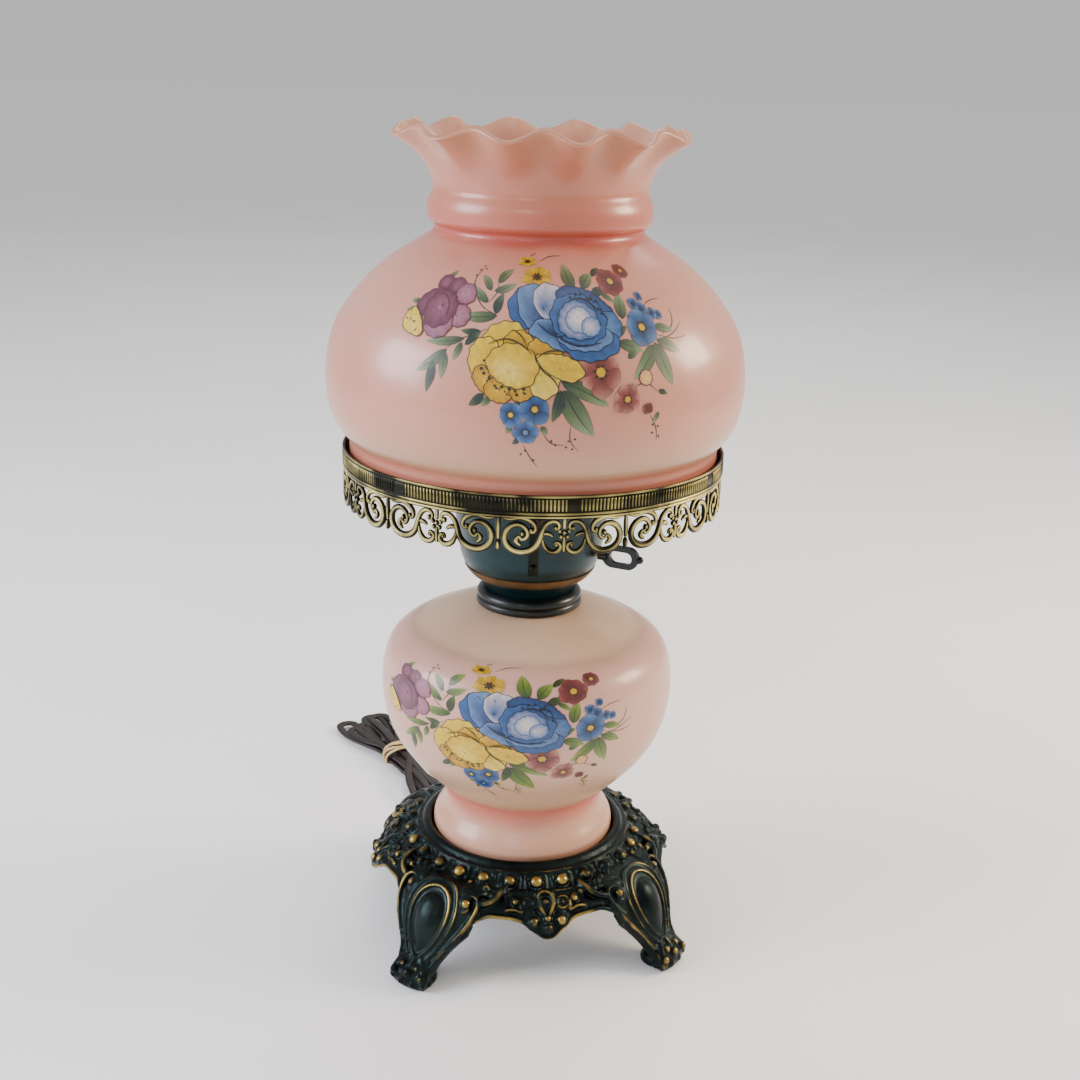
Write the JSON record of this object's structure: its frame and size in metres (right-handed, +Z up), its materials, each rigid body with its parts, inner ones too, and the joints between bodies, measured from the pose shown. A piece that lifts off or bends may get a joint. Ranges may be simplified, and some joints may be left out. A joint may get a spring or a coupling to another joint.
{
  "type": "table lamp",
  "caption": "Electric parlour lamp in oil-lamp form: painted glass shade on a pierced ring, thumb-key burner, glass font, cast footed base.",
  "frame": {"origin": "middle of the base, on the surface that the four toes stand on", "axes": "+Z up along the lamp's axis; -Y is the front, a side of the base between two legs, with the painted flowers"},
  "size_m": [0.2224, 0.3763, 0.4516],
  "materials": {
    "patina_iron": "dark green-black patina, rubbed to brass on its high points",
    "antique_brass": "antique brass, dark in the recesses",
    "blackened_brass": "gloss black-teal lacquer",
    "teal_enamel": "dark teal lacquer, semi-gloss",
    "bronze_band": "bronze paint, satin",
    "shade_satin_glass": "satin opal glass, tinted pink, painted flowers",
    "font_satin_glass": "satin opal glass, tinted pink and cream, painted flowers",
    "bulb_glass": "frosted white",
    "steel": "zinc plated",
    "brass": "bright drawn brass",
    "aluminium": "bright",
    "phenolic": "moulded phenolic",
    "card_sleeve": "vulcanised fibre",
    "felt": "felt",
    "cord_vinyl": "dark brown flexible vinyl",
    "tie_tan": "tan rubber"
  },
  "bodies": {
    "lamp": {"cast_base": "patina_iron", "base_gasket": "felt", "base_plate": "steel", "lock_washer": "steel", "base_nut": "steel", "lamp_pipe": "steel", "pipe_bushing": "phenolic", "inner_lead": "cord_vinyl", "glass_font": "font_satin_glass", "font_collar": "brass", "burner_flange": "blackened_brass", "burner_bowl": "teal_enamel", "bowl_band": "bronze_band", "bowl_nut": "steel", "socket_cap": "brass", "socket_shell": "brass", "socket_sleeve": "card_sleeve", "socket_body": "phenolic", "screw_shell": "brass", "centre_contact": "brass", "terminal_screws": "brass", "holder_arm_1": "antique_brass", "holder_arm_2": "antique_brass", "holder_arm_3": "antique_brass", "arm_rivets": "antique_brass", "arm_screws": "antique_brass", "gallery_band": "antique_brass", "gallery_filigree": "antique_brass", "cord_lead": "cord_vinyl", "cord_hank": "cord_vinyl", "hank_tie": "tie_tan", "cord_tail": "cord_vinyl", "plug_body": "cord_vinyl", "plug_blades": "brass"},
    "key": {"turn_key": "blackened_brass", "key_shaft": "brass", "switch_rotor": "phenolic"},
    "bulb": {"bulb_glass": "bulb_glass", "bulb_cap": "aluminium", "bulb_contact": "brass", "bulb_filament": "steel"},
    "shade": {"shade_glass": "shade_satin_glass"}
  },
  "joints": [
    {"name": "key_turn", "type": "hinge", "parent": "lamp", "child": "key", "pos_m": [0.04145, -0.02796, 0.2285], "axis": [0.829, -0.5592, 0], "continuous": true},
    {"name": "bulb_turn", "type": "hinge", "parent": "lamp", "child": "bulb", "pos_m": [0, 0, 0.25], "axis": [0, 0, 1], "range_deg": [0, 1080]},
    {"name": "shade_lift", "type": "slide", "parent": "lamp", "child": "shade", "axis": [0, 0, 1], "range_m": [0, 0.25]}
  ]
}
